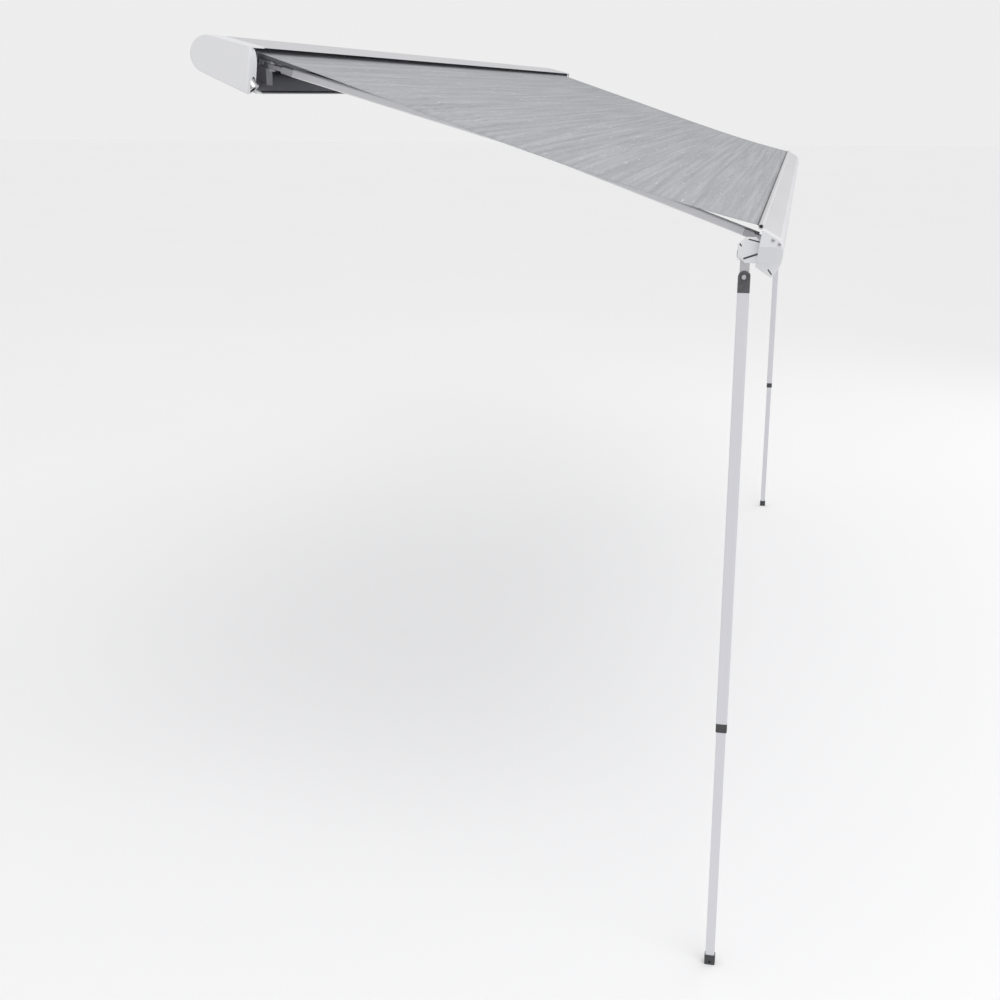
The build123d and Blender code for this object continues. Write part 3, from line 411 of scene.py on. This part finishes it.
def place_piece(name, mesh, finish):
    """Puts a new mesh in the scene in its finish."""
    piece = bpy.data.objects.new(name, mesh)
    bpy.context.scene.collection.objects.link(piece)
    mesh.materials.append(finish)
    return piece


turns = 4
steps_in_turn = 72
looseness = 0.8
spiral = []
for step in range(turns * steps_in_turn + 1):
    share = step / (turns * steps_in_turn)
    radius = tube_radius + ply / 2 + (roll_radius - ply - tube_radius) * share
    angle = 2 * math.pi * (step / steps_in_turn - turns)
    spiral.append(off_slope * (radius * math.cos(angle)) + down_slope * (radius * math.sin(angle)))
roll_lines = [[Vector((x, roll_middle.y, roll_middle.z)) + point for point in spiral]
              for x in (roll_low.x, roll_low.x / 2, 0, roll_high.x / 2, roll_high.x)]
roll_mesh = ribbon_mesh("cloth_on_roller", roll_lines)
cloth_roll = place_piece("cloth_on_roller", roll_mesh, cloth_finish)
thickness = cloth_roll.modifiers.new("ply", "SOLIDIFY")
thickness.thickness = ply * looseness
thickness.offset = 0
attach(cloth_roll, "roller")
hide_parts("fabric_roll")

# Folding arms: white coated aluminium tubes with cast ends on steel pins, one pair at each end.
# A closely wound spring in each forearm keeps the cloth tight.
arm_white = (0.78, 0.78, 0.79, 1)
arm_shaded = (0.70, 0.70, 0.72, 1)
casting_light = (0.50, 0.50, 0.52, 1)
casting_dark = (0.38, 0.38, 0.40, 1)
coil_gap_shade = (0.06, 0.06, 0.065, 1)
coil_light = (0.36, 0.36, 0.37, 1)
wire_pitch = 0.0026
coil_depth = 0.0009
arm_finish, place = start_finish("white_arm_profile")
arm_skin = (place * 800.0).grain(1.0)
end_finish(place, {
    "Base Color": (place * 6.0).grain().between(arm_white, arm_shaded),
    "Roughness": 0.34 + 0.1 * arm_skin,
    "Normal": arm_skin.relief(0.00003),
})
arm_casting_finish = cast_metal("arm_casting", casting_light, casting_dark, 0.36)
ends = ((-1, "left"), (1, "right"))


def at_both_ends(*names):
    """The names of like pieces at both ends of the awning."""
    return [word + "_" + name for _, word in ends for name in names]


dress(at_both_ends("upper_arm_tube", "forearm_tube"), arm_finish)
dress(at_both_ends("shoulder_casting", "elbow_fork", "elbow_tongue", "wrist_casting"),
      arm_casting_finish, small_edge)
dress(["shoulder_brackets", "wrist_brackets"], arm_casting_finish)
dress(at_both_ends("elbow_pin") + ["shoulder_pins", "wrist_pins"], stainless_finish, small_edge)
spring_finish, place = start_finish("wound_spring")
along_x = place.along((1.0, 0.0, 0.0)).reckon("ABSOLUTE")
along_y = place.along((0.0, 1.0, 0.0))
along_z = place.along((0.0, 0.0, 1.0))
forearm = (wrist - elbow).normalized()
wound = along_x * -forearm.x + along_y * forearm.y + along_z * forearm.z
# Painted shade: the grooves between the spring's turns are coloured near-black.
coils = (wound * (2 * math.pi / wire_pitch)).reckon("SINE") * 0.5 + 0.5
end_finish(place, {
    "Base Color": coils.between(coil_gap_shade, coil_light),
    "Metallic": 1.0,
    "Roughness": 0.55 - 0.25 * coils,
    "Normal": coils.relief(coil_depth),
})
dress(at_both_ends("arm_spring"), spring_finish, gear_edge)

# Lead rail: a hollow extrusion of the same satin anodised aluminium, with a slotted tube for
# the canopy's bead along its upper edge.
rail_finish = anodised("anodised_rail", die_line_scale, anodised_light, anodised_dark)
dress(["lead_rail"], rail_finish)

# Lead rail ends: white mouldings, screwed on with two pan heads each. A faceted cover with slots
# hides the leg's bearing behind each end. The slots, a groove on the cap's tip and the heads'
# cross recesses are drawn as thin dark pieces, painted shade for the shadow in these hollows.
rail_cap_edge = 0.0012
slot_shadow_dark = (0.03, 0.03, 0.032, 1)
slot_shadow_light = (0.075, 0.075, 0.08, 1)
bead_radius = 0.0035
bead_low, bead_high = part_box("front_bead")
bead_middle = Vector((0, bead_low.y + bead_radius, bead_low.z + bead_radius))
rail_end_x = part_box("right_rail_cap")[1].x
fold_pivot = Vector(joints["right_leg_fold"]["pos_m"])
bearing_shift = Vector((0, -0.012, 0.012))
bearing_out = 0.0124
bearing_face = fold_pivot.x + bearing_out
bearing_facets = 8
bearing_relief = 0.0008
bearing_profile = ((0.0, -0.0004), (0.0305, -0.0004), (0.0312, 0.0001),
                   (0.0275, bearing_relief), (0.0262, bearing_relief), (0.0, 0.0004))
slot_proud = 0.0001
bearing_slots = {
    "upper": ((0.0045, 0.0245), (-0.0185, 0.0190), 0.0030),
    "lower": ((0.0140, -0.0190), (-0.0200, -0.0070), 0.0042),
    "inner": ((0.0245, 0.0135), (0.0215, 0.0095), 0.0032),
    "outer": ((-0.0245, 0.0130), (-0.0270, 0.0085), 0.0022),
}
tip_slot = ((-0.0215, -0.0950), (-0.0290, -0.1050), 0.0030)
tip_inset = 0.039
tip_face = rail_end_x - tip_inset
tip_slot_proud = 0.0002
tip_slot_root = 0.001
screw_places = ((-0.0298, -0.0244), (-0.0445, -0.0334))
screw_profile = ((0.0, -0.0002), (0.0045, -0.0002), (0.0046, 0.0006), (0.0041, 0.0014),
                 (0.0030, 0.0019), (0.0, 0.0020))
cross_half = 0.0021
cross_width = 0.0009
cross_lean = 0.7
cross_root = 0.0010
cross_top = 0.00205
# Painted shadow: one dark finish for the pieces that stand for the shade in slots, groove and
# recesses.
slot_shadow_finish, place = start_finish("slot_shadow")
slot_shadow_mottle = (place * 400.0).grain()
end_finish(place, {
    "Base Color": slot_shadow_mottle.between(slot_shadow_dark, slot_shadow_light),
    "Roughness": 0.7 + 0.15 * slot_shadow_mottle,
    "Normal": slot_shadow_mottle.relief(0.00005),
})
dress(["left_rail_cap", "right_rail_cap"], moulding_finish, rail_cap_edge)
dress(["leg_fold_pins"], stainless_finish, small_edge)


def mesh_piece(name, points, faces, finish, smooth=False):
    """A piece from its points and faces, with all faces turned outwards."""
    mesh = bpy.data.meshes.new(name)
    mesh.from_pydata([tuple(point) for point in points], [], faces)
    shape = bmesh.new()
    shape.from_mesh(mesh)
    bmesh.ops.remove_doubles(shape, verts=shape.verts, dist=0.000001)
    bmesh.ops.recalc_face_normals(shape, faces=shape.faces)
    shape.to_mesh(mesh)
    shape.free()
    mesh.polygons.foreach_set("use_smooth", [smooth] * len(mesh.polygons))
    return place_piece(name, mesh, finish)


def extruded(name, outline, side, x_from, x_to, finish):
    """A straight piece along X on one side of the awning, from its outline's Y and Z."""
    count = len(outline)
    points = [(side * x, y, z) for x in (x_from, x_to) for y, z in outline]
    faces = [tuple(range(count)), tuple(range(count, 2 * count))]
    faces += [(step, (step + 1) % count, (step + 1) % count + count, step + count)
              for step in range(count)]
    return mesh_piece(name, points, faces, finish)


def turned(name, profile, centre, axis, finish, steps=32, first_turn=0.0, smooth=True):
    """A turned piece: radii and heights of its profile, swept round an axis."""
    axis = Vector(axis).normalized()
    across = Vector((0, 1, 0))
    upward = axis.cross(across)
    points = []
    for step in range(steps):
        turn = first_turn + 2 * math.pi * step / steps
        ray = across * math.cos(turn) + upward * math.sin(turn)
        points += [centre + ray * radius + axis * height for radius, height in profile]
    count = len(profile)
    faces = [(step * count + row, step * count + row + 1,
              (step + 1) % steps * count + row + 1, (step + 1) % steps * count + row)
             for step in range(steps) for row in range(count - 1)]
    return mesh_piece(name, points, faces, finish, smooth)


def slot_outline(start, end, width):
    """The outline of a bar with round ends between two places."""
    start, end = Vector(start), Vector(end)
    heading = (end - start).normalized()
    beside = Vector((-heading.y, heading.x))
    steps = 8
    outline = []
    for centre, way in ((end, 1), (start, -1)):
        for step in range(steps + 1):
            turn = math.pi * (0.5 - step / steps)
            ray = heading * math.cos(turn) + beside * math.sin(turn)
            outline.append(tuple(centre + ray * (way * width / 2)))
    return outline


def shifted(origin, *points):
    """Points of a side view moved to an origin, as Y and Z."""
    return [(origin.y + y, origin.z + z) for y, z in points]


def round_edges(piece, width=0.0004):
    """Takes the sharpness off a small piece's edges."""
    rounding = piece.modifiers.new("edges", "BEVEL")
    rounding.width = width
    rounding.segments = 2


for side, word in ends:
    middle = Vector((side * bearing_face, fold_pivot.y, fold_pivot.z)) + bearing_shift
    cover = turned(word + "_bearing_cover", bearing_profile, middle, (side, 0, 0),
                   moulding_finish, bearing_facets, math.pi / bearing_facets, False)
    round_edges(cover)
    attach(cover, "lead_rail")
    for name, (start, end, width) in bearing_slots.items():
        outline = slot_outline(*shifted(middle, start, end), width)
        slot = extruded("%s_%s_slot" % (word, name), outline, side, bearing_face,
                        bearing_face + bearing_relief + slot_proud, slot_shadow_finish)
        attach(slot, "lead_rail")
    start, end, width = tip_slot
    outline = slot_outline(*shifted(bead_middle, start, end), width)
    slot = extruded(word + "_tip_slot", outline, side, tip_face - tip_slot_root,
                    tip_face + tip_slot_proud, slot_shadow_finish)
    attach(slot, "lead_rail")
    for count, (y, z) in enumerate(screw_places, 1):
        head = Vector((side * rail_end_x, bead_middle.y + y, bead_middle.z + z))
        screw = turned("%s_pan_head_%d" % (word, count), screw_profile, head, (side, 0, 0),
                       stainless_finish)
        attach(screw, "lead_rail")
        if (word, count) == ("left", 1):
            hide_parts("rail_cap_screws")
        # Each head's cross recess is two dark bars of painted shade.
        for bar, lean in enumerate((cross_lean, -cross_lean), 1):
            tip = Vector((cross_lean * cross_half, lean * cross_half))
            outline = slot_outline(*shifted(head, -tip, tip), cross_width)
            recess = extruded("%s_screw_%d_recess_%d" % (word, count, bar), outline, side,
                              rail_end_x + cross_root, rail_end_x + cross_top, slot_shadow_finish)
            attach(recess, "lead_rail")

# Bead: a round dark cord of plastic welded into the canopy's front edge, coloured near-black
# also as painted shade for the gap between cloth and rail. It slides into the lead rail's
# slotted tube, and a short tail of it joins the cloth.
bead_tail = (bead_high.y - bead_middle.y) / -down_slope.y
bead_neck = 0.0008
bead_steps = 40
# Near-black both as the plastic's own colour and as painted shade for the gap at the rail.
bead_dark_and_gap_shade = (0.05, 0.05, 0.055, 1)
bead_worn = (0.09, 0.09, 0.095, 1)
bead_grain_scale = (20.0, 900.0, 900.0)
bead_finish, place = start_finish("bead_plastic")
bead_grain = (place * bead_grain_scale).grain()
end_finish(place, {
    "Base Color": bead_grain.between(bead_dark_and_gap_shade, bead_worn),
    "Roughness": 0.5 + 0.2 * bead_grain,
    "Normal": bead_grain.relief(0.00005),
})
opening = math.asin(bead_neck / 2 / bead_radius)
bead_rim = [down_slope * -bead_tail + off_slope * (way * bead_neck / 2) for way in (1, -1)]
for step in range(bead_steps + 1):
    angle = math.pi + opening + (2 * math.pi - 2 * opening) * step / bead_steps
    bead_rim.append(down_slope * (bead_radius * math.cos(angle))
                    + off_slope * (bead_radius * math.sin(angle)))
bead_outline = shifted(bead_middle, *[(point.y, point.z) for point in bead_rim])
bead = extruded("canopy_bead", bead_outline, 1, bead_low.x, bead_high.x, bead_finish)
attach(bead, "lead_rail")
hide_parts("front_bead")

# Canopy: one sheet of light grey coated cloth, 4.3 m wide, stretched from the top of the roll to
# the bead. It sags a little, most along its free sides, and has a doubled hem there.
cloth_columns = 320
cloth_rows = 96
crowding = 0.35
roll_gap = 0.0008
bead_gap = 0.0003
roll_top = roll_middle + off_slope * (roll_radius + roll_gap)
cloth_end = bead_middle - down_slope * (bead_tail + bead_gap)
sag = 0.008
side_sag = 0.006
side_reach = 0.22
full_belly = 6.75
folds_at_each_side = 7
seeded = random.Random(11)
folds = []
for end in (-1, 1):
    for _ in range(folds_at_each_side):
        folds.append((
            end * (cloth_width / 2 - seeded.uniform(0.02, 0.75)), seeded.uniform(0.012, 0.045),
            seeded.uniform(0.0006, 0.0032), seeded.uniform(-0.06, 0.06),
            seeded.uniform(0.35, 1.0)))


def cloth_height(x, share):
    """How far the cloth lies above its straight line, at an X and a share of the way down."""
    belly = full_belly * share * share * (1 - share)
    side_gap = cloth_width / 2 - abs(x)
    height = -sag * belly - side_sag * belly * math.exp(-side_gap / side_reach)
    for middle, width, rise, drift, reach in folds:
        away = (x - middle - drift * share) / width
        fade = math.sin(math.pi * min(1, share / reach))
        height += rise * fade * fade * math.exp(-away * away)
    return height


canopy_lines = []
for row in range(cloth_rows + 1):
    share = row / cloth_rows
    straight = roll_top.lerp(cloth_end, share)
    line = []
    for column in range(cloth_columns + 1):
        turn = math.pi * column / cloth_columns
        even = (column / cloth_columns - 0.5) * cloth_width
        crowded = -math.cos(turn) * cloth_width / 2
        x = even + (crowded - even) * crowding
        line.append(straight + Vector((x, 0, 0)) + off_slope * cloth_height(x, share))
    canopy_lines.append(line)
canopy_mesh = ribbon_mesh("cloth_canopy", canopy_lines)
canopy = place_piece("cloth_canopy", canopy_mesh, cloth_finish)
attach(canopy, "housing")
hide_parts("canopy")
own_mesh(canopy)
ply_modifier = canopy.modifiers.new("ply", "SOLIDIFY")
ply_modifier.thickness = ply
ply_modifier.offset = 0

# Legs: telescopic aluminium tubes, pale anodised. Each hangs on a steel link in a dark die-cast
# knuckle, and stands on a dark moulded foot.
leg_line_scale = (1400.0, 1400.0, 0.5)
leg_light = (0.72, 0.72, 0.755, 1)
leg_dark = (0.62, 0.62, 0.66, 1)
knuckle_light = (0.15, 0.15, 0.16, 1)
knuckle_dark = (0.075, 0.075, 0.082, 1)
leg_edge = 0.0004
link_edge = 0.0006
knuckle_edge = 0.0012
foot_edge = 0.001
knuckle_pivot = Vector(joints["right_leg_tilt"]["pos_m"])
leg_low, leg_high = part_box("right_leg_outer")
leg_half = (leg_high.y - leg_low.y) / 2
leg_face = (leg_high.x - leg_low.x) / 2
boss_profile = ((0.0058, -0.0004), (0.0058, 0.0006), (0.0063, 0.0010), (0.0078, 0.0010),
                (0.0084, 0.0003), (0.0084, -0.0004))
rivet_profile = ((0.0, -0.0110), (0.0049, -0.0110), (0.0049, -0.0002), (0.0056, 0.0),
                 (0.0055, 0.0007), (0.0044, 0.0013), (0.0024, 0.0013), (0.0017, 0.0008),
                 (0.0, 0.0008))
rib_points = ((0.0055, 0.0090), (0.0092, 0.0055), (0.0096, -0.0010), (0.0072, -0.0062),
              (0.0048, -0.0095), (0.0046, -0.0138))
rib_width = 0.0018
sleeve_top = -0.0150
sleeve_rise = 0.0005
sleeve_root = 0.001
leg_finish = anodised("anodised_leg", leg_line_scale, leg_light, leg_dark, 0.7)
knuckle_finish = cast_metal("knuckle_casting", knuckle_light, knuckle_dark, 0.32)
dress(at_both_ends("leg_outer", "leg_inner"), leg_finish, leg_edge)
dress(at_both_ends("leg_link"), stainless_finish, link_edge)
dress(at_both_ends("leg_knuckle"), knuckle_finish, knuckle_edge)
dress(at_both_ends("leg_collar", "leg_foot"), dark_moulding_finish, foot_edge)


def wire(name, points, width, finish):
    """A round rib along a smooth line of points."""
    line = bpy.data.curves.new(name, "CURVE")
    line.dimensions = "3D"
    line.bevel_depth = width / 2
    line.use_fill_caps = True
    spline = line.splines.new("NURBS")
    spline.points.add(len(points) - 1)
    for knot, point in zip(spline.points, points):
        knot.co = (*point, 1)
    spline.order_u = 3
    spline.use_endpoint_u = True
    line.materials.append(finish)
    rib = bpy.data.objects.new(name, line)
    bpy.context.scene.collection.objects.link(rib)
    return rib


sleeve_top_corners = [(way * leg_half, sleeve_top) for way in (1, -1)]
sleeve_low_corners = [(way * leg_half, leg_high.z - knuckle_pivot.z) for way in (-1, 1)]
sleeve_outline = shifted(knuckle_pivot, *sleeve_low_corners, *sleeve_top_corners)
for side, word in ends:
    for way, facing in ((1, "outer"), (-1, "inner")):
        name = "%s_knuckle_%s_" % (word, facing)
        face = Vector((side * (knuckle_pivot.x + way * leg_face), knuckle_pivot.y,
                       knuckle_pivot.z))
        axis = (side * way, 0, 0)
        boss = turned(name + "boss", boss_profile, face, axis, knuckle_finish)
        rivet = turned(name + "rivet", rivet_profile, face, axis, stainless_finish)
        if facing == "outer":
            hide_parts(word + "_knuckle_pin")
        ribs = [wire(name + "rib_%d" % count,
                     [face + Vector((0, turn * y, z)) for y, z in rib_points], rib_width,
                     knuckle_finish) for count, turn in ((1, -1), (2, 1))]
        sleeve = extruded(name + "sleeve", sleeve_outline, side,
                          knuckle_pivot.x + way * (leg_face - sleeve_root),
                          knuckle_pivot.x + way * (leg_face + sleeve_rise), knuckle_finish)
        round_edges(sleeve)
        for piece in (boss, rivet, sleeve, *ribs):
            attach(piece, word + "_leg")

# Housing screws: stainless pan heads that hold each cap to the extrusion.
dress(["housing_screws"], stainless_finish, small_edge)

# Studio: a plain pale floor under the feet, a white surround and large soft lights.
floor_light = (0.86, 0.86, 0.865, 1)
floor_shaded = (0.84, 0.84, 0.85, 1)
floor_finish, place = start_finish("pale_floor")
end_finish(place, {
    "Base Color": (place * 0.6).grain().between(floor_light, floor_shaded),
    "Roughness": 0.75 + 0.1 * (place * 40.0).grain(),
    "Emission Color": (1.0, 1.0, 1.0, 1),
    "Emission Strength": 0.1,
})
floor_half = 60.0
floor_height = cad_box[0][2]
floor_lines = [[Vector((x, y, floor_height)) for x in (-floor_half, floor_half)]
               for y in (-floor_half, floor_half)]
studio_floor = place_piece("studio_floor", ribbon_mesh("studio_floor", floor_lines), floor_finish)
world = bpy.data.worlds.new("studio")
bpy.context.scene.world = world
world.use_nodes = True
surround = world.node_tree.nodes["Background"].inputs
surround["Color"].default_value = (1.0, 1.0, 1.0, 1)
surround["Strength"].default_value = 0.85


def soft_light(name, place, target, size, power):
    """A large square lamp that shines at a target."""
    lamp = bpy.data.lights.new(name, "AREA")
    lamp.energy = power
    lamp.size = size
    shining = bpy.data.objects.new(name, lamp)
    shining.location = place
    shining.rotation_euler = (Vector(target) - Vector(place)).to_track_quat("-Z", "Y").to_euler()
    bpy.context.scene.collection.objects.link(shining)


middle_of_cloth = (0, -0.7, -0.2)
soft_light("key_light", (-4.5, -3.5, 4.5), middle_of_cloth, 4.0, 130.0)
soft_light("fill_light", (4.0, -5.0, 1.5), middle_of_cloth, 5.0, 40.0)
bpy.context.scene.view_settings.view_transform = "Standard"

# Camera: beside the awning's left end, a little below the housing, as in the photograph.
camera_place = Vector((-5.39, -1.44, -0.09))
camera_turn = math.radians(12.27)
camera_dip = math.radians(-16.54)
lens = bpy.data.cameras.new("camera")
lens.lens = 49.2
camera = bpy.data.objects.new("camera", lens)
camera.location = camera_place
heading = Vector((math.cos(camera_dip) * math.cos(camera_turn),
                  math.cos(camera_dip) * math.sin(camera_turn), math.sin(camera_dip)))
camera.rotation_euler = heading.to_track_quat("-Z", "Y").to_euler()
bpy.context.scene.collection.objects.link(camera)
bpy.context.scene.camera = camera
